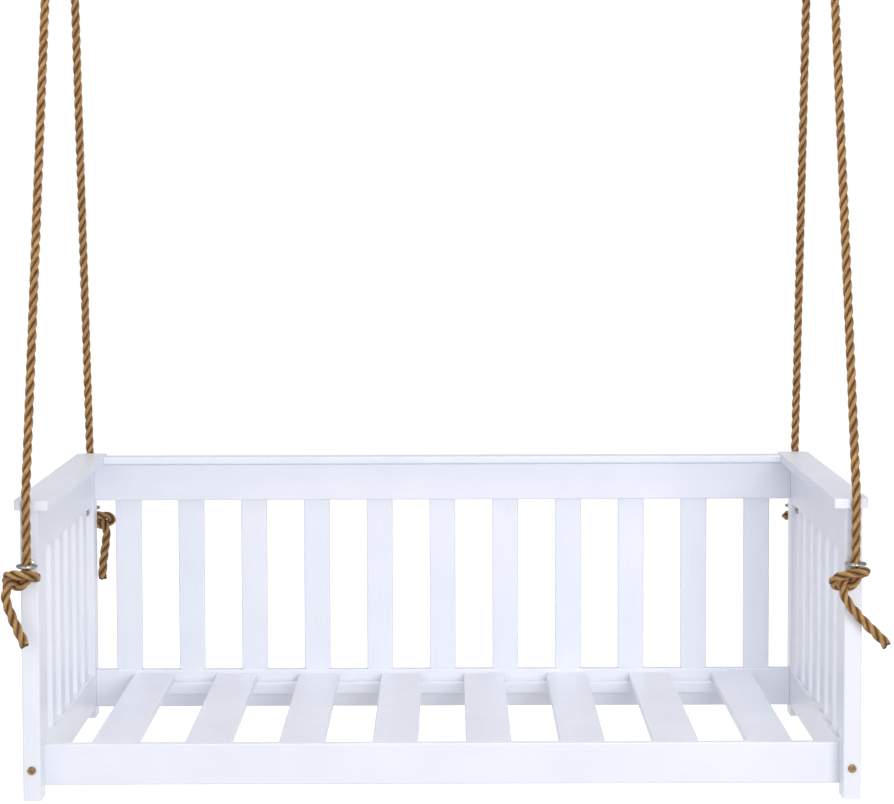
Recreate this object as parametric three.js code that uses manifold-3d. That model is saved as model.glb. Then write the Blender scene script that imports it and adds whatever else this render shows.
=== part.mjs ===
// A hanging porch seat: a slatted timber tray, open at the front, on four knotted ropes.
// The two ropes of each side meet at a ceiling hanger, and the seat swings about the two hanger bars.
// Millimetres, +Z up, the front faces -Y. The origin is on the ceiling, midway between the hangers.
import * as THREE from "three";
import { mergeVertices } from "three/addons/utils/BufferGeometryUtils.js";
import Module from "manifold-3d";

const wasm = await Module();
wasm.setup();

// ---- Driving dimensions ----

const width = 1400; // over the posts
const depth = 820; // over the posts
const seatHeight = 507; // from the feet to the top of the arm caps
const hangHeight = 1886; // from the feet to the ceiling
const seatOffsetY = -68.7; // puts the seat's centre of mass under the hanger bars

const postWidth = 30;
const postDepth = 54;
const gap = 0.3; // between pieces that touch
const edgeRadius = 3; // rounding along the timber's edges

const armCap = { width: 58, thickness: 16, outside: 8, front: 22, back: 9, outerCorner: 16, innerCorner: 3 };
const backCap = { depth: 48, thickness: 14, front: 12 };

const railClearance = 16; // from the feet to the lower rails
const sideRail = { thickness: 24, inset: 2, upperHeight: 80, lowerHeight: 70 };
const backRail = { thickness: 22, recess: 10, upperHeight: 70, lowerHeight: 72, lowerZ: 20 };
const frontRail = { thickness: 22, height: 70, tenonLength: 8 };
const tenon = { length: 15, thickness: 12, shoulder: 9 };

const sideSlat = { count: 6, width: 52, thickness: 12, pitch: 112.6 };
const backSlat = { count: 11, width: 50, thickness: 12, pitch: 121 };
const seatSlat = { count: 8, width: 78, thickness: 15, endGap: 76 };
const slatTenon = 12; // how far a slat's end goes into its rail
const ledger = { thickness: 22, height: 22, pastSlats: 4 };

const eyeBolt = {
  belowRail: 11.3, // from the upper side rail's underside to the middle of the shank
  wire: 6,
  ropeClearance: 4.25, // from the rope to the ring, all round
  reach: 28, // from the post's face to the ring's centre
  shank: 8,
  collarRadius: 9,
  collarThickness: 2,
  washerRadius: 7.4,
  washerThickness: 1.6,
  nutFlats: 13,
  nutThickness: 6.5,
  endBeyondNut: 4,
};
const frontBolt = {
  height: 52,
  shank: 6,
  length: 100,
  headRadius: 7,
  headThickness: 3,
  socketFlats: 5,
  socketDepth: 2.4,
};

const rope = { diameter: 16, sides: 8, steps: 34, tailSteps: 6 };
const ropeEye = { radius: 22, halfGap: 1.5 }; // the loops over a hanger bar, side by side
const ropeBendRise = 5; // above the arm cap, where a rope turns over the cap's end
const ropeCapGap = 1.5; // from a rope to the cap's end
const knot = { width: 72, height: 44, depth: 42, belowRing: 3.5, aside: 10 };
const hanger = {
  inward: 7, // from the middle of a post to the middle of the hanger
  plateLength: 90,
  plateWidth: 44,
  plateThickness: 6,
  barDrop: 56, // from the ceiling to the middle of the bar
  wire: 10,
  endClearance: 4.5, // from a rope to the stirrup's leg
  cornerRadius: 12,
  screwRadius: 3,
  screwPitch: 70,
};

// Each tail's points, as [x, y, z] away from its ring's centre. It leaves the knot underneath.
const tails = {
  front_left: [
    [-29, -9, -27],
    [-33, -10, -40],
    [-34, -8, -55],
    [-29, -5, -73],
    [-21, -3, -94],
    [-11, -2, -117],
    [-4, -2, -133],
  ],
  front_right: [
    [-20, 2, -47],
    [-15, 0, -60],
    [-4, -4, -76],
    [13, -4, -95],
    [30, -3, -112],
    [45, -2, -127],
    [52, -2, -136],
  ],
  back_left: [
    [26, -6, -30],
    [30, -5, -43],
    [29, -1, -58],
    [26, 3, -80],
    [22, 3, -111],
    [20, 3, -140],
  ],
  back_right: [
    [22, -5, -32],
    [26, -3, -46],
    [24, 2, -68],
    [15, 4, -92],
    [6, 3, -112],
    [-2, 3, -130],
  ],
};

// ---- Dimensions that follow ----

const frontY = -depth / 2;
const backY = depth / 2;
const postX = width / 2 - postWidth / 2;
const postInnerX = width / 2 - postWidth;
const postHeight = seatHeight - armCap.thickness;
const armCapInnerX = width / 2 + armCap.outside - armCap.width;
const sideRailX = postInnerX + sideRail.inset + sideRail.thickness / 2;
const sideRailInnerX = postInnerX + sideRail.inset;
const sideRailLength = depth - 2 * postDepth - 2 * gap;
const upperSideRailZ = postHeight - gap - sideRail.upperHeight;
const frontRailY = frontY + postDepth + frontRail.thickness / 2;
const backRailFrontY = backY - postDepth + backRail.recess;
const backRailY = backRailFrontY + backRail.thickness / 2;
const upperBackRailZ = postHeight - gap - backRail.upperHeight;
const seatTopZ = railClearance + frontRail.height - 1.5;
const ledgerZ = seatTopZ - seatSlat.thickness - gap - ledger.height;
const seatFrontY = frontRailY + frontRail.thickness / 2 + gap;
const seatBackY = backRailFrontY - gap;
const eyeBoltZ = upperSideRailZ - eyeBolt.belowRail;
const ringRadius = rope.diameter / 2 + eyeBolt.ropeClearance + eyeBolt.wire / 2;
const eyeSideStep = rope.diameter / 2 + ropeEye.halfGap;
const hangerInnerWidth = 2 * (eyeSideStep + rope.diameter / 2 + hanger.endClearance);
const barZ = -hanger.barDrop;
const ringFrontY = frontY - eyeBolt.reach;
const ringBackY = backY + eyeBolt.reach;
const hangerX = postX - hanger.inward;

// ---- Solids ----

// A closed geometry as a manifold solid.
function toSolid(geometry) {
  const plain = geometry.clone();
  plain.deleteAttribute("normal");
  plain.deleteAttribute("uv");
  const merged = mergeVertices(plain, 1e-3);
  return new wasm.Manifold(
    new wasm.Mesh({
      numProp: 3,
      vertProperties: merged.attributes.position.array,
      triVerts: new Uint32Array(merged.index.array),
    }),
  );
}

function toGeometry(solid) {
  const mesh = solid.getMesh();
  const geometry = new THREE.BufferGeometry();
  geometry.setAttribute("position", new THREE.BufferAttribute(mesh.vertProperties, 3));
  geometry.setIndex(new THREE.BufferAttribute(mesh.triVerts, 1));
  const flat = geometry.toNonIndexed();
  flat.computeVertexNormals();
  return flat;
}

function roundedRectangle(sizeX, sizeY, left, right = left) {
  const x = sizeX / 2;
  const y = sizeY / 2;
  const shape = new THREE.Shape();
  shape.moveTo(-x + left, -y);
  shape.lineTo(x - right, -y);
  shape.absarc(x - right, -y + right, right, -Math.PI / 2, 0);
  shape.lineTo(x, y - right);
  shape.absarc(x - right, y - right, right, 0, Math.PI / 2);
  shape.lineTo(-x + left, y);
  shape.absarc(-x + left, y - left, left, Math.PI / 2, Math.PI);
  shape.lineTo(-x, -y + left);
  shape.absarc(-x + left, -y + left, left, Math.PI, 1.5 * Math.PI);
  return shape;
}

// A timber member, its length along `axis`, its middle at `center`, with rounded long edges.
function timber(size, center, axis) {
  const [sx, sy, sz] = size;
  const section = { x: [sz, sy], y: [sx, sz], z: [sx, sy] }[axis];
  const length = { x: sx, y: sy, z: sz }[axis];
  const shape = roundedRectangle(section[0], section[1], edgeRadius);
  const options = { depth: length, bevelEnabled: false, curveSegments: 2 };
  const geometry = new THREE.ExtrudeGeometry(shape, options);
  geometry.translate(0, 0, -length / 2);
  if (axis === "x") geometry.rotateY(Math.PI / 2);
  if (axis === "y") geometry.rotateX(Math.PI / 2);
  geometry.translate(...center);
  return toSolid(geometry);
}

function block(size, center) {
  const geometry = new THREE.BoxGeometry(...size);
  geometry.translate(...center);
  return toSolid(geometry);
}

// A round bar, its length along `axis`.
function cylinder(radius, length, center, axis, sides = 12) {
  const geometry = new THREE.CylinderGeometry(radius, radius, length, sides);
  if (axis === "x") geometry.rotateZ(Math.PI / 2);
  if (axis === "z") geometry.rotateX(Math.PI / 2);
  geometry.translate(...center);
  return toSolid(geometry);
}

// A tongue's box, and the pocket that takes it with the usual gap all round.
const pocket = (size) => size.map((value) => value + 2 * gap);

// ---- The tree of named meshes ----

const porchSwing = new THREE.Group();
const seat = new THREE.Group();
seat.position.set(0, seatOffsetY, -hangHeight);
porchSwing.add(seat);

const finishes = {
  paint: { color: 0xe8ebf4, roughness: 0.45, metalness: 0 },
  steel: { color: 0x9a9da0, roughness: 0.35, metalness: 1 },
  bronze: { color: 0x7a5f3a, roughness: 0.45, metalness: 1 },
  rope: { color: 0xb08048, roughness: 0.9, metalness: 0 },
};

function addMesh(name, solid, finish, parent) {
  const mesh = new THREE.Mesh(toGeometry(solid), new THREE.MeshStandardMaterial(finishes[finish]));
  mesh.name = name;
  parent.add(mesh);
}

// ---- Places shared by the pieces that join ----

const sides = [
  { name: "left", sign: -1 },
  { name: "right", sign: 1 },
];
const ends = [
  { name: "front", sign: -1 },
  { name: "back", sign: 1 },
];

const sideRails = [
  { name: "upper", z: upperSideRailZ, height: sideRail.upperHeight },
  { name: "lower", z: railClearance, height: sideRail.lowerHeight },
];
const backRails = [
  { name: "upper", z: upperBackRailZ, height: backRail.upperHeight },
  { name: "lower", z: backRail.lowerZ, height: backRail.lowerHeight },
];

// Places along a row of `count` pieces about zero.
const row = (count, pitch) => Array.from({ length: count }, (_, i) => (i - (count - 1) / 2) * pitch);

// The tongue on one end of a rail: along Y on a side rail, along X on a back or front rail.
function sideTenon(side, end, rail) {
  const size = [tenon.thickness, tenon.length + 2, rail.height - 2 * tenon.shoulder];
  const y = end.sign * (sideRailLength / 2 + tenon.length / 2 - 1);
  return { size, center: [side.sign * sideRailX, y, rail.z + rail.height / 2] };
}

function crossTenon(side, shoulderX, y, rail, length) {
  const size = [length + 2, tenon.thickness, rail.height - 2 * tenon.shoulder];
  return { size, center: [side.sign * (shoulderX + length / 2 - 1), y, rail.z + rail.height / 2] };
}

const backTenon = (side, rail) => crossTenon(side, postInnerX - gap, backRailY, rail, tenon.length);

const frontRailPlace = { z: railClearance, height: frontRail.height };
const frontTenon = (side) =>
  crossTenon(side, sideRailInnerX - gap, frontRailY, frontRailPlace, frontRail.tenonLength);

// The slats in the sides and the back stand in pockets in the rails above and below.
const sideSlatBottom = railClearance + sideRail.lowerHeight - slatTenon;
const sideSlatTop = upperSideRailZ + slatTenon;
const backSlatBottom = backRail.lowerZ + backRail.lowerHeight - slatTenon;
const backSlatTop = upperBackRailZ + slatTenon;

function standingSlat(sizeX, sizeY, x, y, bottom, top) {
  return { size: [sizeX, sizeY, top - bottom], center: [x, y, (top + bottom) / 2] };
}

const sideSlatAt = (side, y) =>
  standingSlat(sideSlat.thickness, sideSlat.width, side.sign * sideRailX, y, sideSlatBottom, sideSlatTop);
const backSlatAt = (x) =>
  standingSlat(backSlat.width, backSlat.thickness, x, backRailY, backSlatBottom, backSlatTop);

const cutPocket = (solid, place) => solid.subtract(block(pocket(place.size), place.center));

// ---- Frame ----

for (const side of sides) {
  for (const end of ends) {
    const x = side.sign * postX;
    const y = end.sign * (depth / 2 - postDepth / 2);
    let post = timber([postWidth, postDepth, postHeight - gap], [x, y, (postHeight - gap) / 2], "z");
    for (const rail of sideRails) post = cutPocket(post, sideTenon(side, end, rail));
    if (end.name === "back") {
      for (const rail of backRails) post = cutPocket(post, backTenon(side, rail));
    }
    const bore = eyeBolt.shank / 2 + gap;
    post = post.subtract(cylinder(bore, 2 * postDepth, [x, y, eyeBoltZ], "y"));
    if (end.name === "front") {
      const boltBore = frontBolt.shank / 2 + gap;
      post = post.subtract(cylinder(boltBore, 2 * postDepth, [x, y, frontBolt.height], "y"));
    }
    addMesh(`${end.name}_post_${side.name}`, post, "paint", seat);
  }

  for (const rail of sideRails) {
    const center = [side.sign * sideRailX, 0, rail.z + rail.height / 2];
    let solid = timber([sideRail.thickness, sideRailLength, rail.height], center, "y");
    for (const end of ends) {
      const tongue = sideTenon(side, end, rail);
      solid = solid.add(block(tongue.size, tongue.center));
    }
    for (const y of row(sideSlat.count, sideSlat.pitch)) solid = cutPocket(solid, sideSlatAt(side, y));
    if (rail.name === "lower") {
      solid = cutPocket(solid, frontTenon(side));
      const boltX = side.sign * postX;
      const boltEnd = frontY + frontBolt.length + gap;
      const boreLength = 2 * tenon.length + frontBolt.length;
      const boreY = boltEnd - boreLength / 2;
      const bore = cylinder(frontBolt.shank / 2 + gap, boreLength, [boltX, boreY, frontBolt.height], "y");
      solid = solid.subtract(bore);
    }
    addMesh(`${rail.name}_side_rail_${side.name}`, solid, "paint", seat);
  }

  row(sideSlat.count, sideSlat.pitch).forEach((y, i) => {
    const slat = sideSlatAt(side, y);
    addMesh(`side_slat_${side.name}_${i + 1}`, timber(slat.size, slat.center, "z"), "paint", seat);
  });
}

for (const rail of backRails) {
  const length = 2 * (postInnerX - gap);
  const center = [0, backRailY, rail.z + rail.height / 2];
  let solid = timber([length, backRail.thickness, rail.height], center, "x");
  for (const side of sides) {
    const tongue = backTenon(side, rail);
    solid = solid.add(block(tongue.size, tongue.center));
  }
  for (const x of row(backSlat.count, backSlat.pitch)) solid = cutPocket(solid, backSlatAt(x));
  addMesh(`${rail.name}_back_rail`, solid, "paint", seat);
}

row(backSlat.count, backSlat.pitch).forEach((x, i) => {
  const slat = backSlatAt(x);
  addMesh(`back_slat_${i + 1}`, timber(slat.size, slat.center, "z"), "paint", seat);
});

// ---- Front rail, ledgers and seat slats ----

const innerLength = 2 * (sideRailInnerX - gap);
let frontRailSolid = timber(
  [innerLength, frontRail.thickness, frontRail.height],
  [0, frontRailY, railClearance + frontRail.height / 2],
  "x",
);
for (const side of sides) {
  const tongue = frontTenon(side);
  frontRailSolid = frontRailSolid.add(block(tongue.size, tongue.center));
}
addMesh("front_rail", frontRailSolid, "paint", seat);

const seatSpan = 2 * (sideRailInnerX - seatSlat.endGap) - seatSlat.width;
const ledgerLength = seatSpan + seatSlat.width + 2 * ledger.pastSlats;
const ledgerPlaces = { front: seatFrontY + ledger.thickness / 2, back: seatBackY - ledger.thickness / 2 };
for (const [name, y] of Object.entries(ledgerPlaces)) {
  const size = [ledgerLength, ledger.thickness, ledger.height];
  addMesh(`${name}_ledger`, timber(size, [0, y, ledgerZ + ledger.height / 2], "x"), "paint", seat);
}

row(seatSlat.count, seatSpan / (seatSlat.count - 1)).forEach((x, i) => {
  const size = [seatSlat.width, seatBackY - seatFrontY, seatSlat.thickness];
  const center = [x, (seatBackY + seatFrontY) / 2, seatTopZ - seatSlat.thickness / 2];
  addMesh(`seat_slat_${i + 1}`, timber(size, center, "y"), "paint", seat);
});

// ---- Caps ----

for (const side of sides) {
  const length = armCap.front + depth + armCap.back;
  const corners = [armCap.innerCorner, armCap.outerCorner];
  if (side.sign < 0) corners.reverse();
  const shape = roundedRectangle(armCap.width, length, ...corners);
  const options = { depth: armCap.thickness, bevelEnabled: false, curveSegments: 5 };
  const geometry = new THREE.ExtrudeGeometry(shape, options);
  const x = side.sign * (width / 2 + armCap.outside - armCap.width / 2);
  geometry.translate(x, (armCap.back - armCap.front) / 2, seatHeight - armCap.thickness);
  addMesh(`arm_cap_${side.name}`, toSolid(geometry), "paint", seat);
}

const backCapLength = 2 * (armCapInnerX - gap);
const backCapY = backRailFrontY - backCap.front + backCap.depth / 2;
const backCapSize = [backCapLength, backCap.depth, backCap.thickness];
const backCapCenter = [0, backCapY, postHeight + backCap.thickness / 2];
addMesh("back_cap", timber(backCapSize, backCapCenter, "x"), "paint", seat);

// ---- Fixings ----

// The ring lies flat, and a nut holds the shank on the post's other face.
function eyeBoltSolid(side, end) {
  const x = side.sign * postX;
  const z = eyeBoltZ;
  const face = end.sign * depth / 2;
  const out = end.sign;
  const ringY = face + out * eyeBolt.reach;
  const ring = new THREE.TorusGeometry(ringRadius, eyeBolt.wire / 2, 8, 18);
  ring.translate(x, ringY, z);
  const stemStart = ringY - out * ringRadius;
  const stackThickness = eyeBolt.washerThickness + eyeBolt.nutThickness + eyeBolt.endBeyondNut;
  const stemEnd = face - out * (postDepth + stackThickness);
  const stemCenter = [x, (stemStart + stemEnd) / 2, z];
  const stem = cylinder(eyeBolt.shank / 2, Math.abs(stemStart - stemEnd), stemCenter, "y");
  const collarY = face + out * (gap + eyeBolt.collarThickness / 2);
  const washerY = face - out * (postDepth + gap + eyeBolt.washerThickness / 2);
  const nutY = face - out * (postDepth + gap + eyeBolt.washerThickness + eyeBolt.nutThickness / 2);
  const nutRadius = eyeBolt.nutFlats / Math.sqrt(3);
  const nut = new THREE.CylinderGeometry(nutRadius, nutRadius, eyeBolt.nutThickness, 6);
  nut.rotateY(Math.PI / 6);
  nut.translate(x, nutY, z);
  return toSolid(ring)
    .add(stem)
    .add(cylinder(eyeBolt.collarRadius, eyeBolt.collarThickness, [x, collarY, z], "y", 16))
    .add(cylinder(eyeBolt.washerRadius, eyeBolt.washerThickness, [x, washerY, z], "y", 16))
    .add(toSolid(nut));
}

function frontBoltSolid(side) {
  const x = side.sign * postX;
  const z = frontBolt.height;
  const head = frontY - gap - frontBolt.headThickness / 2;
  const shankLength = frontBolt.length + gap;
  const shank = cylinder(frontBolt.shank / 2, shankLength, [x, frontY - gap + shankLength / 2, z], "y", 12);
  const socketRadius = frontBolt.socketFlats / Math.sqrt(3);
  const socketY = frontY - gap - frontBolt.headThickness;
  return cylinder(frontBolt.headRadius, frontBolt.headThickness, [x, head, z], "y", 24)
    .add(shank)
    .subtract(cylinder(socketRadius, 2 * frontBolt.socketDepth, [x, socketY, z], "y", 6));
}

for (const side of sides) {
  for (const end of ends) {
    addMesh(`eye_bolt_${end.name}_${side.name}`, eyeBoltSolid(side, end), "steel", seat);
  }
  addMesh(`front_bolt_${side.name}`, frontBoltSolid(side), "bronze", seat);
}

// ---- Ceiling hangers ----

// A plate with a stirrup below it, whose level bar carries the two ropes of one side.
function hangerSolid(side) {
  const x = side.sign * hangerX;
  const reach = hangerInnerWidth / 2 + hanger.wire / 2;
  const corner = hanger.cornerRadius;
  const top = -hanger.plateThickness / 2;
  const path = new THREE.CurvePath();
  const start = new THREE.Vector3(x - reach, 0, top);
  const lowLeft = new THREE.Vector3(x - reach, 0, barZ);
  const lowRight = new THREE.Vector3(x + reach, 0, barZ);
  const stop = new THREE.Vector3(x + reach, 0, top);
  const above = new THREE.Vector3(0, 0, corner);
  const along = new THREE.Vector3(corner, 0, 0);
  const turns = [
    [lowLeft.clone().add(above), lowLeft, lowLeft.clone().add(along)],
    [lowRight.clone().sub(along), lowRight, lowRight.clone().add(above)],
  ];
  path.add(new THREE.LineCurve3(start, turns[0][0]));
  path.add(new THREE.QuadraticBezierCurve3(...turns[0]));
  path.add(new THREE.LineCurve3(turns[0][2], turns[1][0]));
  path.add(new THREE.QuadraticBezierCurve3(...turns[1]));
  path.add(new THREE.LineCurve3(turns[1][2], stop));
  const section = new THREE.Shape();
  section.absarc(0, 0, hanger.wire / 2, 0, 2 * Math.PI);
  const options = { steps: 26, extrudePath: path, curveSegments: 5, bevelEnabled: false };
  const stirrup = toSolid(new THREE.ExtrudeGeometry(section, options));
  const plateShape = roundedRectangle(hanger.plateLength, hanger.plateWidth, 6);
  const plateOptions = { depth: hanger.plateThickness, bevelEnabled: false, curveSegments: 3 };
  const plate = new THREE.ExtrudeGeometry(plateShape, plateOptions);
  plate.translate(x, 0, -hanger.plateThickness);
  let solid = toSolid(plate).add(stirrup);
  for (const step of [-0.5, 0.5]) {
    const center = [x + step * hanger.screwPitch, 0, 0];
    solid = solid.subtract(cylinder(hanger.screwRadius, 4 * hanger.plateThickness, center, "z", 12));
  }
  return solid;
}

for (const side of sides) addMesh(`ceiling_hanger_${side.name}`, hangerSolid(side), "steel", porchSwing);

// ---- Ropes ----

// One rope: a loop over the hanger bar, a straight fall to the eye bolt, a stopper knot and a tail.
function ropeSolid(side, end) {
  const ring = new THREE.Vector3(
    side.sign * postX,
    seatOffsetY + (end.name === "front" ? ringFrontY : ringBackY),
    eyeBoltZ - hangHeight,
  );
  const bar = new THREE.Vector3(side.sign * (hangerX - end.sign * eyeSideStep), 0, barZ);
  const capEnd = end.sign * (depth / 2 + (end.name === "front" ? armCap.front : armCap.back));
  const bend = new THREE.Vector3(
    side.sign * postX,
    seatOffsetY + capEnd + end.sign * (rope.diameter / 2 + ropeCapGap),
    seatHeight + ropeBendRise - hangHeight,
  );
  const underCap = bend.clone();
  underCap.z -= armCap.thickness + 2 * ropeBendRise;
  const down = bend.clone().sub(bar).normalize();
  const inner = ropeEye.radius - rope.diameter / 2;
  const eyeDrop = inner - hanger.wire / 2 - gap;
  const eyeCenter = bar.clone().addScaledVector(down, eyeDrop);
  const start = eyeCenter.clone().addScaledVector(down, ropeEye.radius);
  const knotCenter = ring.clone();
  knotCenter.x += end.sign * knot.aside;
  knotCenter.z -= knot.belowRing + knot.height / 2;
  const underRing = ring.clone();
  underRing.z = knotCenter.z;
  const fall = [0, 0.3, 0.6, 0.9, 0.98].map((t) => start.clone().lerp(bend, t));
  const tailPoints = tails[`${end.name}_${side.name}`];
  const tail = tailPoints.map((point) => ring.clone().add(new THREE.Vector3(...point)));

  const section = new THREE.Shape();
  section.absarc(0, 0, rope.diameter / 2, 0, 2 * Math.PI);
  const tube = (points, steps) => {
    const path = new THREE.CatmullRomCurve3(points);
    const options = { steps, extrudePath: path, curveSegments: rope.sides / 2, bevelEnabled: false };
    return toSolid(new THREE.ExtrudeGeometry(section, options));
  };
  const eye = new THREE.TorusGeometry(ropeEye.radius, rope.diameter / 2, rope.sides, 16);
  eye.rotateY(Math.PI / 2);
  eye.translate(eyeCenter.x, eyeCenter.y, eyeCenter.z);
  const body = new THREE.SphereGeometry(0.5, 12, 6);
  body.scale(knot.width, knot.depth, knot.height);
  body.translate(knotCenter.x, knotCenter.y, knotCenter.z);
  return tube([...fall, bend, underCap, ring, underRing], rope.steps)
    .add(toSolid(eye))
    .add(toSolid(body))
    .add(tube([knotCenter, ...tail], rope.tailSteps));
}

for (const side of sides) {
  for (const end of ends) {
    addMesh(`rope_${end.name}_${side.name}`, ropeSolid(side, end), "rope", porchSwing);
  }
}

export default porchSwing;
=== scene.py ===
"""The looks of a hanging porch seat: painted timber, three-strand ropes, plated fixings.

Lengths are in metres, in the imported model's frame. The ceiling is at z = 0, the seat's front is
towards -y, and the line of the hanger bars, which the seat swings about, is at y = 0.
"""

import math

import bmesh
import bpy
import numpy as np
from mathutils import Matrix, Vector


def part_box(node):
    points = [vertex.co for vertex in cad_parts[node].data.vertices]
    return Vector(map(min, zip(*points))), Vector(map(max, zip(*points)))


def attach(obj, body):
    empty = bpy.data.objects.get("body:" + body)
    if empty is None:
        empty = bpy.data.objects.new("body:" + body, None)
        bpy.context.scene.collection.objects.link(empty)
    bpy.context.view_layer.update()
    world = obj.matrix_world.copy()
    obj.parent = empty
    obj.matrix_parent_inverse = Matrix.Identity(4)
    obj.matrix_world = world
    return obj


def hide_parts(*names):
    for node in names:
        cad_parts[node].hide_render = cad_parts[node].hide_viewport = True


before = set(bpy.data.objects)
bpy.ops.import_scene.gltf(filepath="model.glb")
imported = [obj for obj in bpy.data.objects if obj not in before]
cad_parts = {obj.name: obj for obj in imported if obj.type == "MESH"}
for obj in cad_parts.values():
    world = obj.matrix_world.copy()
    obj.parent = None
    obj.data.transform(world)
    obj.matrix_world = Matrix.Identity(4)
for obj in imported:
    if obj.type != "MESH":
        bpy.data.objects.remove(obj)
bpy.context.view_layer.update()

MM = 0.001
SIDES = {"left": -1, "right": 1}
ENDS = {"front": -1, "back": 1}

# ---- Sizes that repeat the frame's ----

HANG_HEIGHT = 1.886  # from the feet to the ceiling
FEET_Z = -HANG_HEIGHT
SEAT_Y = -0.0687  # the middle of the seat, front to back
HALF_DEPTH = 0.410  # from there to the posts' outer faces
POST_X = 0.685  # the posts' middle
POST_DEPTH = 0.054
CAP_TOP = FEET_Z + 0.507
CAP_THICKNESS = 0.016
CAP_OVERHANG = {"front": 0.022, "back": 0.009}
FIT_GAP = 0.0003  # between pieces that rest on each other

EYE_Z = FEET_Z + 0.3994  # the eye bolts' rings
RING_REACH = 0.028  # from the post's face to the ring's middle
RING_RADIUS = 0.01525  # to the middle of the wire
RING_WIRE = 0.003  # the wire's own radius

BAR_Z = -0.056  # the hanger bars, which the ropes' eyes go over
BAR_RADIUS = 0.005
HANGER_X = 0.678
HANGER_PLATE = 0.006  # its thickness
HANGER_SCREW_PITCH = 0.070

ROPE = 0.016  # across
EYE_RADIUS = 0.022  # of the eye at a rope's top
EYE_SIDE_STEP = 0.0095  # an eye's distance from the middle of its bar
ROPE_CAP_GAP = 0.0015  # between a rope and the arm cap's end
BEND_RISE = 0.005  # a rope's bend is this far above the arm cap's top

# ---- Rope and twine settings ----

STRANDS = 3
STRAND_SIDES = 18
STRAND_SWELL = 1.05  # strands are this much fatter than three touching circles
LAY_LENGTH = 0.066  # along the rope for one turn of a strand
TAIL_SLACK = 0.1  # a tail's lay opens by this share
SLACK_START = 0.11  # before the free end
SLACK_LENGTH = 0.07  # along which the lay opens
SEALED_LENGTH = 0.0015
ROPE_STEP = 0.003  # between a rope's rings
CURVE_SAMPLES = 40  # between two points of a route

UV_ROUND = 8  # texture units round one strand
UV_ALONG = 60  # texture units in one metre of rope
YARN_TURNS = 6.0  # of the yarns round a strand, in one metre

EYE_ARC = (0, 30, 60, 90, 120)  # degrees from the eye's top
THROAT = 0.052  # below the eye's middle, where its two halves meet
SHORT_END = (THROAT, 0.075, 0.105, 0.135)  # the same for points of its short half
FALL_SHARES = (0, 0.05, 0.35, 0.65, 0.9, 0.98)  # of the way from the throat to the arm cap

TWINE = 0.0024  # across
TWINE_SIDES = 8
SEIZING_STARTS = (0.058, 0.098)  # below the eye's middle
SEIZING_TURNS = 9
SEIZING_STEPS = 24  # in one turn
SEIZING_SQUARENESS = 4

# ---- Fixing sizes ----
# A turned piece's profile is a list of (distance along its axis, radius).

SHANK_RADIUS = 0.004
NECK = RING_REACH - RING_RADIUS  # where the shank meets the ring
SHANK = [
    (-0.001, SHANK_RADIUS),
    (NECK - 0.004, SHANK_RADIUS),
    (NECK, 0.0033),
    (NECK + 0.001, 0.0024),
]
COLLAR = [
    (FIT_GAP, 0.0082),
    (FIT_GAP + 0.0005, 0.009),
    (0.0018, 0.009),
    (0.0023, 0.0083),
    (0.0023, 0.003),
]
WASHER_THICKNESS = 0.0016
INNER_FACE = -POST_DEPTH - FIT_GAP
WASHER = [
    (INNER_FACE, 0.0070),
    (INNER_FACE - 0.0003, 0.0074),
    (INNER_FACE - 0.0013, 0.0074),
    (INNER_FACE - WASHER_THICKNESS, 0.0070),
]
NUT_FLATS = 0.013
NUT_THICKNESS = 0.0065
NUT_SIDES = 48
NUT_CHAMFER = 0.14  # of its thickness
THREAD_START = INNER_FACE - 0.007
THREAD_END = INNER_FACE - 0.0121
THREAD_PITCH = 0.00125
SCREW_HEAD = [
    (0.0, 0.0056),
    (0.0009, 0.0055),
    (0.002, 0.0046),
    (0.0027, 0.003),
    (0.0029, 0.0016),
    (0.0016, 0.0014),
]

# ---- Softened edges of the CAD pieces: width and segments ----

HANGER_EDGE = (0.0008, 2)
BOLT_EDGE = (0.0006, 2)
TIMBER_EDGE = (0.0016, 3)
EDGE_ANGLE = 50  # degrees, above which an edge is softened

# ---- Camera settings ----

CAMERA_PLACE = (0.0158, -5.2724 + SEAT_Y, 1.0343 - HANG_HEIGHT)
CAMERA_TILT = 0.0692  # below level; all three angles are in radians
CAMERA_TURN = -0.0011
CAMERA_ROLL = -0.0030
LENS_MM = 118.6
SENSOR_MM = 36
SHIFT_UP = -0.02
CLIP_END = 60

# ---- Stage settings ----

STAGE_RADIUS = 30
FLOOR_DROP = 0.35  # the floor lies this far below the feet
SKY_COLOR = (0.95, 0.965, 1.0, 1)
SKY_STRENGTH = 0.62
LIGHT_TARGET = (0, 0, FEET_Z + 0.35)
LIGHTS = {  # place, size, watts
    "key": ((1.3, -5.0, -0.75), 1.6, 92),
    "fill": ((-2.6, -4.6, -0.4), 2.4, 22),
    "top": ((0.4, -0.6, 2.8), 2.0, 62),
}

# ---- Camera ----


def add_camera():
    data = bpy.data.cameras.new("camera")
    data.lens = LENS_MM
    data.sensor_width = SENSOR_MM
    data.shift_y = SHIFT_UP
    data.clip_end = CLIP_END
    camera = bpy.data.objects.new("camera", data)
    bpy.context.scene.collection.objects.link(camera)
    camera.location = CAMERA_PLACE
    turn = Matrix.Rotation(-CAMERA_TURN, 4, "Z")
    tilt = Matrix.Rotation(math.pi / 2 - CAMERA_TILT, 4, "X")
    roll = Matrix.Rotation(CAMERA_ROLL, 4, "Z")
    camera.rotation_euler = (turn @ tilt @ roll).to_euler()
    bpy.context.scene.camera = camera


# ---- Node material helpers ----


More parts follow.
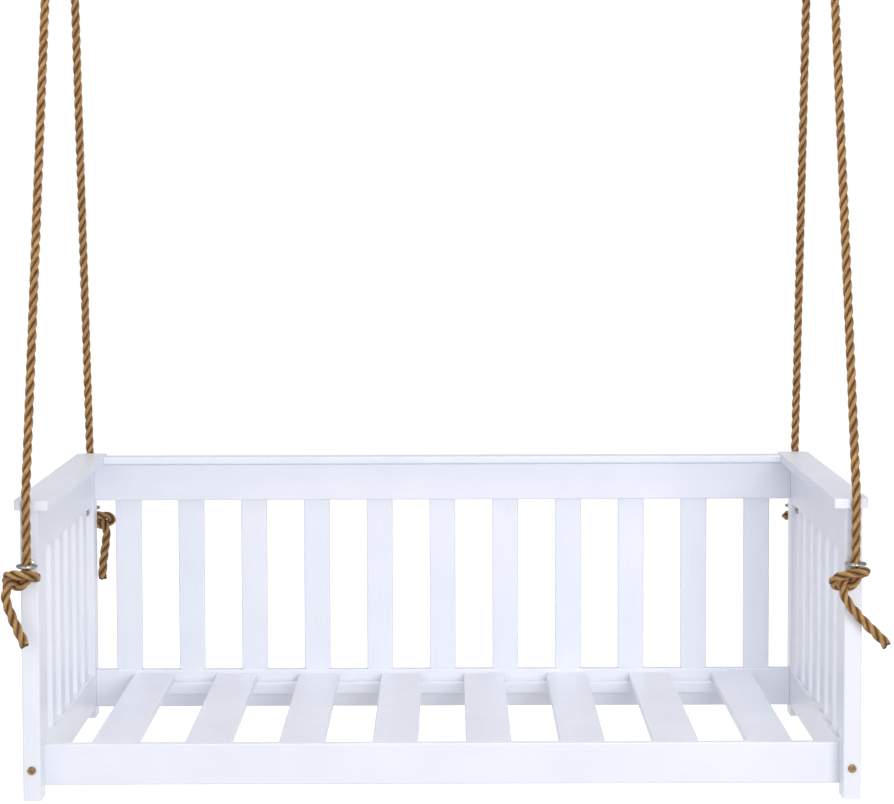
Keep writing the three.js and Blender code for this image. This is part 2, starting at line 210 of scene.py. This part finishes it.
class Shader:
    """A material whose nodes are added and linked by short calls."""

    def __init__(self, name):
        self.material = bpy.data.materials.new(name)
        self.material.use_nodes = True
        self.nodes = self.material.node_tree.nodes
        self.links = self.material.node_tree.links
        self.main = self.nodes["Principled BSDF"]

    def add(self, kind, inputs=None, **settings):
        node = self.nodes.new(kind)
        for key, value in settings.items():
            setattr(node, key, value)
        for key, value in (inputs or {}).items():
            self.feed(node.inputs[key], value)
        return node

    def feed(self, socket, value):
        if isinstance(value, bpy.types.NodeSocket):
            self.links.new(value, socket)
        else:
            socket.default_value = value

    def set(self, **values):
        for key, value in values.items():
            self.feed(self.main.inputs[key.replace("_", " ")], value)

    def coordinates(self, scale, kind="Object"):
        source = self.add("ShaderNodeTexCoord")
        mapped = self.add("ShaderNodeMapping", {"Vector": source.outputs[kind], "Scale": scale})
        return mapped.outputs["Vector"]

    def noise(self, vector, scale, detail=3.0, roughness=0.5):
        inputs = {"Vector": vector, "Scale": scale, "Detail": detail, "Roughness": roughness}
        return self.add("ShaderNodeTexNoise", inputs).outputs["Fac"]

    def ramp(self, factor, stops):
        node = self.add("ShaderNodeValToRGB", {"Fac": factor})
        elements = node.color_ramp.elements
        while len(elements) < len(stops):
            elements.new(0.5)
        for element, (place, color) in zip(elements, stops):
            element.position = place
            element.color = (*color, 1)
        return node.outputs["Color"]

    def grey(self, factor, low, high):
        inputs = {"Value": factor, "To Min": low, "To Max": high}
        return self.add("ShaderNodeMapRange", inputs).outputs["Result"]

    def multiply(self, factor, first, second):
        """The first color times the second, by a factor from 0 to 1."""
        node = self.add("ShaderNodeMix", data_type="RGBA", blend_type="MULTIPLY")
        # A Mix node's color sockets share their names with its other types' sockets.
        self.feed(node.inputs[0], factor)
        self.feed(node.inputs[6], first)
        self.feed(node.inputs[7], second)
        return node.outputs[2]

    def bump(self, height, distance, strength, normal=None):
        inputs = {"Height": height, "Distance": distance, "Strength": strength}
        node = self.add("ShaderNodeBump", inputs)
        if normal is not None:
            self.links.new(normal, node.inputs["Normal"])
        return node.outputs["Normal"]


def painted_wood(axis):
    """Cool white satin paint over timber whose grain runs along one axis of the frame."""
    shader = Shader(f"painted_wood_{'xyz'[axis]}")
    stretched = [1.0, 1.0, 1.0]
    stretched[axis] = 0.06
    grain = shader.coordinates(stretched)
    even = shader.coordinates((1, 1, 1))
    streaks = shader.noise(grain, 160, 4, 0.6)
    brush = shader.noise(grain, 900, 2, 0.5)
    patches = shader.noise(even, 7, 2, 0.5)
    tint = shader.ramp(patches, [(0.3, (0.79, 0.805, 0.88)), (0.7, (0.83, 0.845, 0.91))])
    pores = shader.ramp(streaks, [(0.28, (0.945, 0.945, 0.955)), (0.45, (1, 1, 1))])
    color = shader.multiply(0.55, tint, pores)
    shader.set(Base_Color=color)
    shader.set(Roughness=shader.grey(brush, 0.36, 0.52))
    shader.set(Coat_Weight=0.15, Coat_Roughness=0.25)
    low = shader.bump(streaks, 0.0004, 0.5)
    shader.set(Normal=shader.bump(brush, 0.00012, 0.5, low))
    return shader.material


def manila():
    """Tan plant fibre: yarns wound the other way to the strands, with painted shade in the lay's
    valleys and a painted highlight on the strands' crowns.
    """
    shader = Shader("manila_rope")
    spread = shader.coordinates((1, 1, 1), "UV")
    yarns = shader.add(
        "ShaderNodeTexWave",
        {"Vector": spread, "Scale": 1.0, "Distortion": 2.2, "Detail": 3.0, "Detail Scale": 2.0},
        wave_type="BANDS",
        bands_direction="X",
    ).outputs["Fac"]
    long_way = shader.add("ShaderNodeMapping", {"Vector": spread, "Scale": (4, 0.22, 1)})
    fibres = shader.noise(long_way.outputs["Vector"], 4, 5, 0.7)
    patches = shader.noise(shader.coordinates((1, 1, 1)), 60, 3, 0.6)
    base = shader.ramp(
        fibres,
        [
            (0.36, (0.27, 0.125, 0.034)),
            (0.48, (0.52, 0.285, 0.098)),
            (0.6, (0.85, 0.56, 0.26)),
        ],
    )
    shade = shader.ramp(yarns, [(0.0, (0.50, 0.40, 0.32)), (0.45, (1, 1, 1))])
    color = shader.multiply(0.8, base, shade)
    # A strand's "depth" is 1 on the rope's outside and 0 at its heart.
    depth_for_painted_shade = shader.add("ShaderNodeAttribute", attribute_name="depth").outputs["Fac"]
    # Painted shade darkens the grooves where the strands meet, and a painted highlight brightens
    # the strands' outer crowns.
    painted_groove_shade_and_highlight = shader.ramp(
        depth_for_painted_shade,
        [
            (0.26, (0.16, 0.07, 0.02)),
            (0.46, (0.50, 0.36, 0.20)),
            (0.74, (0.90, 0.86, 0.80)),
            (0.95, (1.45, 1.46, 1.46)),
        ],
    )
    color = shader.multiply(1.0, color, painted_groove_shade_and_highlight)
    blotch = shader.ramp(patches, [(0.32, (0.74, 0.68, 0.62)), (0.66, (1.18, 1.16, 1.1))])
    color = shader.multiply(0.9, color, blotch)
    shader.set(Base_Color=color, Roughness=0.62, Sheen_Weight=0.06, Sheen_Roughness=0.4)
    shader.set(Sheen_Tint=(0.95, 0.78, 0.52, 1))
    coarse = shader.bump(yarns, 0.0009, 0.9)
    shader.set(Normal=shader.bump(fibres, 0.0006, 0.8, coarse))
    return shader.material


def sealed_end():
    """A rope's cut end, darkened where it was sealed."""
    shader = Shader("sealed_rope_end")
    spots = shader.noise(shader.coordinates((1, 1, 1)), 600, 3, 0.6)
    burnt = shader.ramp(spots, [(0.3, (0.035, 0.022, 0.016)), (0.7, (0.10, 0.065, 0.045))])
    shader.set(Base_Color=burnt, Roughness=0.5)
    shader.set(Normal=shader.bump(spots, 0.0005, 0.6))
    return shader.material


def plated_steel():
    """Dull zinc plate with light scratches and darker stains."""
    shader = Shader("plated_steel")
    scratches = shader.noise(shader.coordinates((1, 1, 0.2)), 900, 3, 0.6)
    stains = shader.noise(shader.coordinates((1, 1, 1)), 120, 3, 0.6)
    color = shader.ramp(stains, [(0.3, (0.21, 0.20, 0.19)), (0.65, (0.46, 0.45, 0.43))])
    shader.set(Base_Color=color)
    shader.set(Metallic=1.0, Roughness=shader.grey(scratches, 0.18, 0.38))
    shader.set(Normal=shader.bump(scratches, 0.00005, 0.4))
    return shader.material


def antique_bronze():
    """Brown plated metal, mottled."""
    shader = Shader("antique_bronze")
    stains = shader.noise(shader.coordinates((1, 1, 1)), 420, 4, 0.6)
    color = shader.ramp(stains, [(0.35, (0.11, 0.065, 0.03)), (0.62, (0.36, 0.235, 0.115))])
    shader.set(Base_Color=color)
    shader.set(Metallic=1.0, Roughness=shader.grey(stains, 0.32, 0.5))
    shader.set(Normal=shader.bump(stains, 0.00008, 0.4))
    return shader.material


def twine():
    """The thin pale twine that binds the ropes' eyes."""
    shader = Shader("whipping_twine")
    strands = shader.noise(shader.coordinates((1, 1, 0.3)), 1500, 3, 0.6)
    color = shader.ramp(strands, [(0.3, (0.30, 0.20, 0.10)), (0.7, (0.62, 0.47, 0.28))])
    shader.set(Base_Color=color)
    shader.set(Roughness=0.85, Normal=shader.bump(strands, 0.0003, 0.6))
    return shader.material


# ---- Mesh helpers ----


def link(name, mesh, material=None):
    """A smooth object of the mesh, in the scene."""
    piece = bpy.data.objects.new(name, mesh)
    bpy.context.scene.collection.objects.link(piece)
    if material is not None:
        mesh.materials.append(material)
    mesh.polygons.foreach_set("use_smooth", [True] * len(mesh.polygons))
    return piece


def distances(path):
    """How far along the path each of its points lies."""
    steps = np.linalg.norm(np.diff(path, axis=0), axis=1)
    return np.concatenate([[0], np.cumsum(steps)])


def spaced(points, step):
    """A smooth curve through the points, resampled to even steps, as an array."""
    controls = np.array(points, float)
    before = 2 * controls[0] - controls[1]
    beyond = 2 * controls[-1] - controls[-2]
    padded = np.vstack([before, controls, beyond])
    rows = []
    for a, b, c, d in zip(padded, padded[1:], padded[2:], padded[3:]):
        # Centripetal Catmull-Rom between b and c.
        ta = 0.0
        tb = ta + math.sqrt(np.linalg.norm(b - a))
        tc = tb + math.sqrt(np.linalg.norm(c - b))
        td = tc + math.sqrt(np.linalg.norm(d - c))
        t = np.linspace(tb, tc, CURVE_SAMPLES, endpoint=False)[:, None]
        ab = (tb - t) / (tb - ta) * a + (t - ta) / (tb - ta) * b
        bc = (tc - t) / (tc - tb) * b + (t - tb) / (tc - tb) * c
        cd = (td - t) / (td - tc) * c + (t - tc) / (td - tc) * d
        abc = (tc - t) / (tc - ta) * ab + (t - ta) / (tc - ta) * bc
        bcd = (td - t) / (td - tb) * bc + (t - tb) / (td - tb) * cd
        rows.append((tc - t) / (tc - tb) * abc + (t - tb) / (tc - tb) * bcd)
    dense = np.concatenate([*rows, controls[-1:]])
    along = distances(dense)
    count = max(2, round(along[-1] / step) + 1)
    even = np.linspace(0, along[-1], count)
    return np.stack([np.interp(even, along, dense[:, k]) for k in range(3)], axis=1)


def steady_frames(path):
    """Tangents and two cross directions that don't twist along the path."""
    tangents = np.gradient(path, axis=0)
    tangents /= np.linalg.norm(tangents, axis=1, keepdims=True)
    side = np.cross(tangents[0], (0.3, 1.0, 0.1))
    side /= np.linalg.norm(side)
    sides = [side]
    for tangent in tangents[1:]:
        side = side - tangent * (side @ tangent)
        side /= np.linalg.norm(side)
        sides.append(side)
    sides = np.array(sides)
    return tangents, sides, np.cross(tangents, sides)


def laid_rope(name, path, loosen=0.0):
    """A twisted rope along the path: round strands pressed together, closed at both ends."""
    tangents, u, v = steady_frames(path)
    along = distances(path)
    strand = ROPE / (1 + 1 / math.sin(math.pi / STRANDS)) * STRAND_SWELL
    offset = ROPE / 2 - strand / 2
    steepness = math.atan2(2 * math.pi * offset, LAY_LENGTH)
    # The lay slackens towards a free end.
    slack = 1 + loosen * np.clip((along - along[-1] + SLACK_START) / SLACK_LENGTH, 0, 1)
    rings, count = len(path), STRAND_SIDES
    verts, faces, depth, uvs, marks = [], [], [], [], []
    theta = np.linspace(0, 2 * math.pi, count, endpoint=False)
    for s in range(STRANDS):
        # A strand's phase grows along the rope, which lays it right-handed.
        phase = 2 * math.pi * (s / STRANDS + along / LAY_LENGTH)
        out = np.cos(phase)[:, None] * u + np.sin(phase)[:, None] * v
        turning = -np.sin(phase)[:, None] * u + np.cos(phase)[:, None] * v
        center = path + out * (offset * slack)[:, None]
        # The strand's section lies across its own slope.
        lean = math.cos(steepness) * turning - math.sin(steepness) * tangents
        base = len(verts)
        # Each strand is a little thicker here and thinner there.
        uneven = 1 + 0.02 * np.sin(along * 410 + s * 2.1) + 0.015 * np.sin(along * 173 + s)
        radii = strand / 2 * uneven * slack
        for k in range(rings):
            section = np.cos(theta)[:, None] * out[k] + np.sin(theta)[:, None] * lean[k]
            verts.extend((center[k] + radii[k] * section).tolist())
            depth.extend((0.5 + 0.5 * np.cos(theta)).tolist())
        for k in range(rings - 1):
            for i in range(count):
                a = base + k * count + i
                b = base + k * count + (i + 1) % count
                faces.append((a, b, b + count, a + count))
                left, right = i / count, (i + 1) / count
                low, high = along[k], along[k + 1]
                uvs.append(((left, low), (right, low), (right, high), (left, high)))
                marks.append(high > along[-1] - SEALED_LENGTH)
        for row, order in ((0, -1), (rings - 1, 1)):
            corners = [base + row * count + i for i in range(count)][::order]
            faces.append(tuple(corners))
            uvs.append(tuple((i / count, along[row]) for i in range(count))[::order])
            marks.append(row > 0)
    mesh = bpy.data.meshes.new(name)
    mesh.from_pydata(verts, [], faces)
    layer = mesh.uv_layers.new(name="strand")
    # Yarns turn round the strand as they go, so the pattern leans.
    flat = []
    for face in uvs:
        for x, y in face:
            flat.append((UV_ROUND * (x + y * YARN_TURNS), y * UV_ALONG))
    layer.data.foreach_set("uv", np.array(flat).ravel())
    attribute = mesh.attributes.new("depth", "FLOAT", "POINT")
    attribute.data.foreach_set("value", depth)
    mesh.materials.append(MATERIALS["rope"])
    mesh.materials.append(MATERIALS["rope_end"])
    mesh.polygons.foreach_set("material_index", [int(mark) for mark in marks])
    mesh.validate()
    return link(name, mesh)


def tube(name, path, radius, material):
    """A plain round tube along a path, closed at both ends."""
    _, u, v = steady_frames(path)
    theta = np.linspace(0, 2 * math.pi, TWINE_SIDES, endpoint=False)
    verts = []
    for center, a, b in zip(path, u, v):
        section = np.cos(theta)[:, None] * a + np.sin(theta)[:, None] * b
        verts.extend((center + radius * section).tolist())
    faces = []
    last = (len(path) - 1) * TWINE_SIDES
    for base in range(0, last, TWINE_SIDES):
        for i in range(TWINE_SIDES):
            a = base + i
            b = base + (i + 1) % TWINE_SIDES
            faces.append((a, b, b + TWINE_SIDES, a + TWINE_SIDES))
    faces.append(tuple(range(TWINE_SIDES))[::-1])
    faces.append(tuple(last + i for i in range(TWINE_SIDES)))
    mesh = bpy.data.meshes.new(name)
    mesh.from_pydata(verts, [], faces)
    return link(name, mesh, material)


# ---- Ropes ----

# One tight overhand knot, in millimetres from its ring's centre: down through the ring, left
# and up round the loop, across the standing part, round it, and back through the loop.
KNOT = [
    (0, 0, -4),
    (0, -3, -13),
    (0, 1, -23),
    (-5, 3, -30),
    (-15, -4, -34),
    (-27, -8, -31),
    (-35, -5, -23),
    (-31, 2, -15),
    (-19, 10, -13),
    (-4, 14, -13),
    (11, 9, -15),
    (16, -3, -19),
    (10, -13, -21),
    (-1, -15, -21),
    (-13, -9, -22),
    (-21, 1, -24),
]
# Each corner's knot: mirrored across or not, its share of the width, its tilt in degrees.
KNOT_SHAPES = {
    "front_left": (1, 1.0, 0),
    "front_right": (1, 1.14, 18),
    "back_left": (-1, 1.15, 4),
    "back_right": (-1, 1.0, -6),
}
# The tilt is about this height. It begins below the ring and is whole a little further down.
KNOT_PIVOT = -18
TILT_START = -8
TILT_GROWTH = 6
# Where each corner's free end hangs after its knot, in millimetres from its ring's centre.
TAILS = {
    "front_left": [
        (-29, -9, -27),
        (-33, -10, -40),
        (-34, -8, -55),
        (-29, -5, -73),
        (-21, -3, -94),
        (-11, -2, -117),
        (-4, -2, -133),
    ],
    "front_right": [
        (-20, 2, -47),
        (-15, 0, -60),
        (-4, -4, -76),
        (13, -4, -95),
        (30, -3, -112),
        (45, -2, -127),
        (52, -2, -136),
    ],
    "back_left": [
        (26, -6, -30),
        (30, -5, -43),
        (29, -1, -58),
        (26, 3, -80),
        (22, 3, -111),
        (20, 3, -140),
    ],
    "back_right": [
        (22, -5, -32),
        (26, -3, -46),
        (24, 2, -68),
        (15, 4, -92),
        (6, 3, -112),
        (-2, 3, -130),
    ],
}


def knot_points(corner):
    """The knot's route from its ring, in millimetres, wrapped in front and tilted for a corner."""
    mirror, widen, tilt = KNOT_SHAPES[corner]
    turn = math.radians(tilt)
    points = []
    for x, y, z in KNOT:
        share = min(1.0, max(0.0, (TILT_START - z) / TILT_GROWTH))
        rise = z - KNOT_PIVOT
        tilted_x = x * math.cos(turn) - rise * math.sin(turn)
        tilted_z = KNOT_PIVOT + x * math.sin(turn) + rise * math.cos(turn)
        moved_x = mirror * widen * (x + share * (tilted_x - x))
        moved_z = z + share * (tilted_z - z)
        points.append((moved_x, -y, moved_z))
    return points


def rope_places(side, end):
    """The ring's centre, the bend over the arm cap's end, and the middle of the hanger bar."""
    out = ENDS[end]
    x = SIDES[side] * POST_X
    ring = Vector((x, SEAT_Y + out * (HALF_DEPTH + RING_REACH), EYE_Z))
    cap_end = HALF_DEPTH + CAP_OVERHANG[end] + ROPE / 2 + ROPE_CAP_GAP
    bend = Vector((x, SEAT_Y + out * cap_end, CAP_TOP + BEND_RISE))
    bar = Vector((SIDES[side] * (HANGER_X - out * EYE_SIDE_STEP), 0, BAR_Z))
    return ring, bend, bar


def eye_arc(middle, down, inward, turning):
    """Points round one half of an eye, from its top; turning is 1 or -1."""
    points = []
    for angle in EYE_ARC:
        turn = turning * math.radians(angle)
        points.append(middle + EYE_RADIUS * (inward * math.sin(turn) - down * math.cos(turn)))
    return points


def rope_route(side, end):
    """Points from the top of the eye, over the hanger bar, down to the end of the tail."""
    ring, bend, bar = rope_places(side, end)
    down = (bend - bar).normalized()
    drop = EYE_RADIUS - ROPE / 2 - BAR_RADIUS - FIT_GAP
    middle = bar + down * drop
    inward = Vector((0, -ENDS[end], 0))
    inward = (inward - down * inward.dot(down)).normalized()
    eye = eye_arc(middle, down, inward, 1)
    throat = middle + down * THROAT
    under_cap = bend - Vector((0, 0, CAP_THICKNESS + 2 * BEND_RISE))
    fall = [throat.lerp(bend, share) for share in FALL_SHARES]
    knot = [ring + Vector(point) * MM for point in knot_points(f"{end}_{side}")]
    tail = [ring + Vector(point) * MM for point in TAILS[f"{end}_{side}"]]
    return [*eye, *fall, bend, under_cap, ring, *knot, *tail], middle, down, inward


def seizing_path(start, middle, down, inward):
    """Turns of twine round a rope and its eye's short half, which lie side by side."""
    across = down.cross(inward).normalized()
    reach = ROPE / 2 + TWINE / 2
    winding = []
    for k in range(SEIZING_TURNS * SEIZING_STEPS + 1):
        angle = 2 * math.pi * k / SEIZING_STEPS
        c, s = math.cos(angle), math.sin(angle)
        # Half circles round each rope, joined by almost straight runs.
        sideways = reach * c + ROPE / 2 * math.tanh(SEIZING_SQUARENESS * c) - ROPE / 2
        drop = start + TWINE * k / SEIZING_STEPS
        winding.append(middle + down * drop + inward * sideways + across * reach * s)
    return np.array(winding)


def add_rope(side, end):
    """A rope with its knot and tail, the short half of its eye, and two seizings."""
    points, middle, down, inward = rope_route(side, end)
    path = spaced(points, ROPE_STEP)
    rope = laid_rope(f"rope_{end}_{side}_laid", path, TAIL_SLACK)
    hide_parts(f"rope_{end}_{side}")
    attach(rope, "seat")

    # The other half of the eye comes down beside the fall and is bound to it.
    back = eye_arc(middle, down, inward, -1)
    beside = -inward * ROPE
    back.extend(middle + down * step + beside for step in SHORT_END)
    half = laid_rope(f"rope_eye_{end}_{side}", spaced(back, ROPE_STEP))
    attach(half, "seat")

    for number, start in enumerate(SEIZING_STARTS):
        winding = seizing_path(start, middle, down, inward)
        name = f"seizing_{end}_{side}_{number + 1}"
        binding = tube(name, winding, TWINE / 2, MATERIALS["twine"])
        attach(binding, "seat")


# ---- Fixings ----


def skin(shape, rows):
    """Joins rings of vertices, each to the next, in a bmesh."""
    count = len(rows[0])
    for first, second in zip(rows, rows[1:]):
        for k in range(count):
            after = (k + 1) % count
            shape.faces.new((first[k], first[after], second[after], second[k]))


def close_ends(shape, rows):
    shape.faces.new(rows[0][::-1])
    shape.faces.new(rows[-1])


def turned(shape, profile, place, axis, around=32):
    """Adds a body turned about an axis, which is upright or front to back."""
    across = Vector((1, 0, 0))
    other = Vector((0, 0, 1)) if axis.y else Vector((0, 1, 0))
    rows = []
    for step, radius in profile:
        row = []
        for k in range(around):
            angle = 2 * math.pi * k / around
            outward = across * math.cos(angle) + other * math.sin(angle)
            row.append(shape.verts.new(place + axis * step + outward * radius))
        rows.append(row)
    skin(shape, rows)
    close_ends(shape, rows)


def add_ring(shape, center, around=56, section=16):
    """Adds a level ring of round wire."""
    rows = []
    for k in range(around):
        angle = 2 * math.pi * k / around
        outward = Vector((math.cos(angle), math.sin(angle), 0))
        row = []
        for i in range(section):
            tip = 2 * math.pi * i / section
            reach = RING_RADIUS + RING_WIRE * math.cos(tip)
            offset = outward * reach + Vector((0, 0, RING_WIRE * math.sin(tip)))
            row.append(shape.verts.new(center + offset))
        rows.append(row)
    skin(shape, [*rows, rows[0]])


def add_nut(shape, place, axis):
    """Adds a hexagonal nut whose corners are chamfered at both ends."""
    rows = []
    ends = ((0, True), (NUT_CHAMFER, False), (1 - NUT_CHAMFER, False), (1, True))
    for share, chamfered in ends:
        row = []
        for k in range(NUT_SIDES):
            angle = 2 * math.pi * k / NUT_SIDES
            to_flat = (angle % (math.pi / 3)) - math.pi / 6
            radius = NUT_FLATS / 2 / math.cos(to_flat)
            if chamfered:
                radius = min(radius, NUT_FLATS / 2 * 1.01)
            outward = Vector((math.sin(angle), 0, math.cos(angle)))
            row.append(shape.verts.new(place + axis * share * NUT_THICKNESS + outward * radius))
        rows.append(row)
    skin(shape, rows)
    close_ends(shape, rows)


def threaded(start, end, radius):
    """The profile of a shank's threaded end, from start down to end: ridges, then a chamfer."""
    profile = []
    count = round((start - end) / THREAD_PITCH)
    for k in range(count):
        profile.append((start + (end - start) * k / count, radius))
        profile.append((start + (end - start) * (k + 0.5) / count, radius * 0.86))
    profile.append((end + 0.0006, radius * 0.95))
    profile.append((end, radius * 0.72))
    return profile


def finish_piece(name, shape, material, angle=40):
    """A mesh object from a bmesh, smooth except across edges sharper than the angle."""
    bmesh.ops.recalc_face_normals(shape, faces=shape.faces)
    for edge in shape.edges:
        if len(edge.link_faces) == 2 and edge.calc_face_angle() > math.radians(angle):
            edge.smooth = False
    mesh = bpy.data.meshes.new(name)
    shape.to_mesh(mesh)
    shape.free()
    return link(name, mesh, material)


def add_eye_bolt(side, end):
    """A ring on a shank through a post, with a collar outside, and a washer and nut inside."""
    axis = Vector((0, ENDS[end], 0))
    face = Vector((SIDES[side] * POST_X, SEAT_Y, EYE_Z)) + axis * HALF_DEPTH
    shape = bmesh.new()
    add_ring(shape, face + axis * RING_REACH)
    turned(shape, SHANK, face, axis)
    turned(shape, COLLAR, face, axis, 40)
    turned(shape, WASHER, face, axis, 40)
    add_nut(shape, face + axis * (INNER_FACE - WASHER_THICKNESS), -axis)
    turned(shape, threaded(THREAD_START, THREAD_END, SHANK_RADIUS), face, axis, 24)
    bolt = finish_piece(f"eye_bolt_{end}_{side}_finished", shape, MATERIALS["steel"])
    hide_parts(f"eye_bolt_{end}_{side}")
    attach(bolt, "seat")


def add_hanger_screws(side):
    """Pan-head screws that hold a hanger's plate to the ceiling."""
    low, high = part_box(f"ceiling_hanger_{side}")
    middle = (low[0] + high[0]) / 2
    for number, step in enumerate((-1, 1)):
        shape = bmesh.new()
        place = Vector((middle + step * HANGER_SCREW_PITCH / 2, 0, -HANGER_PLATE))
        turned(shape, SCREW_HEAD, place, Vector((0, 0, -1)), 28)
        screw = finish_piece(f"hanger_screw_{side}_{number + 1}", shape, MATERIALS["steel"])
        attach(screw, "hangers")


# ---- The frame's own pieces ----


def wood_axis(node):
    """The axis that a member is longest along, which its grain follows."""
    low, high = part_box(node)
    size = high - low
    return max(range(3), key=lambda k: size[k])


def dress(obj, material, edge):
    """A finish, softened edges and smooth shading on a CAD piece, with its mesh as it is."""
    obj.data.materials.clear()
    obj.data.materials.append(material)
    obj.data.polygons.foreach_set("use_smooth", [True] * len(obj.data.polygons))
    weld = obj.modifiers.new("weld", "WELD")
    weld.merge_threshold = 1e-5
    bevel = obj.modifiers.new("bevel", "BEVEL")
    bevel.width, bevel.segments = edge
    bevel.limit_method = "ANGLE"
    bevel.angle_limit = math.radians(EDGE_ANGLE)
    normals = obj.modifiers.new("normals", "WEIGHTED_NORMAL")
    normals.keep_sharp = False
    normals.weight = 100


# ---- Stage ----


def glowing(name, color, glow):
    """A plain matt studio surface that is bright enough to read as white."""
    shader = Shader(name)
    shader.set(Base_Color=(*color, 1), Roughness=0.9, Specular_IOR_Level=0.1)
    shader.set(Emission_Color=(1, 1, 1, 1), Emission_Strength=glow)
    return shader.material


def add_floor():
    mesh = bpy.data.meshes.new("floor")
    half = STAGE_RADIUS
    corners = [(-half, -half, 0), (half, -half, 0), (half, half, 0), (-half, half, 0)]
    mesh.from_pydata(corners, [], [(0, 1, 2, 3)])
    floor = link("floor", mesh, glowing("studio_floor", (0.9, 0.9, 0.9), 0.55))
    floor.location = (0, 0, FEET_Z - FLOOR_DROP)
    floor.visible_diffuse = False


def add_backdrop():
    """A plain white dome, which the camera sees and the lighting doesn't."""
    mesh = bpy.data.meshes.new("backdrop")
    dome = bmesh.new()
    bmesh.ops.create_icosphere(dome, subdivisions=3, radius=STAGE_RADIUS)
    dome.to_mesh(mesh)
    dome.free()
    backdrop = link("backdrop", mesh, glowing("studio_backdrop", (0, 0, 0), 1.0))
    backdrop.visible_diffuse = False
    backdrop.visible_glossy = False
    backdrop.visible_shadow = False


def area_light(name, place, size, power):
    data = bpy.data.lights.new(name, "AREA")
    data.shape = "SQUARE"
    data.size = size
    data.energy = power
    light = bpy.data.objects.new(name, data)
    bpy.context.scene.collection.objects.link(light)
    light.location = place
    aim = Vector(LIGHT_TARGET) - Vector(place)
    light.rotation_euler = aim.to_track_quat("-Z", "Y").to_euler()


def add_stage():
    bpy.context.scene.view_settings.view_transform = "Standard"
    add_floor()
    add_backdrop()
    world = bpy.data.worlds.new("studio")
    bpy.context.scene.world = world
    world.use_nodes = True
    background = world.node_tree.nodes["Background"]
    background.inputs["Color"].default_value = SKY_COLOR
    background.inputs["Strength"].default_value = SKY_STRENGTH
    for name, (place, size, power) in LIGHTS.items():
        area_light(name, place, size, power)


MATERIALS = {
    "wood": [painted_wood(axis) for axis in range(3)],
    "rope": manila(),
    "rope_end": sealed_end(),
    "steel": plated_steel(),
    "bronze": antique_bronze(),
    "twine": twine(),
}

add_camera()
for side in SIDES:
    for end in ENDS:
        add_rope(side, end)
        add_eye_bolt(side, end)
    add_hanger_screws(side)
for name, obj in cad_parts.items():
    if name.startswith(("rope_", "eye_bolt")):
        continue  # a finished piece stands for it
    if name.startswith("ceiling_hanger"):
        dress(obj, MATERIALS["steel"], HANGER_EDGE)
    elif name.startswith("front_bolt"):
        dress(obj, MATERIALS["bronze"], BOLT_EDGE)
    else:
        dress(obj, MATERIALS["wood"][wood_axis(name)], TIMBER_EDGE)
add_stage()
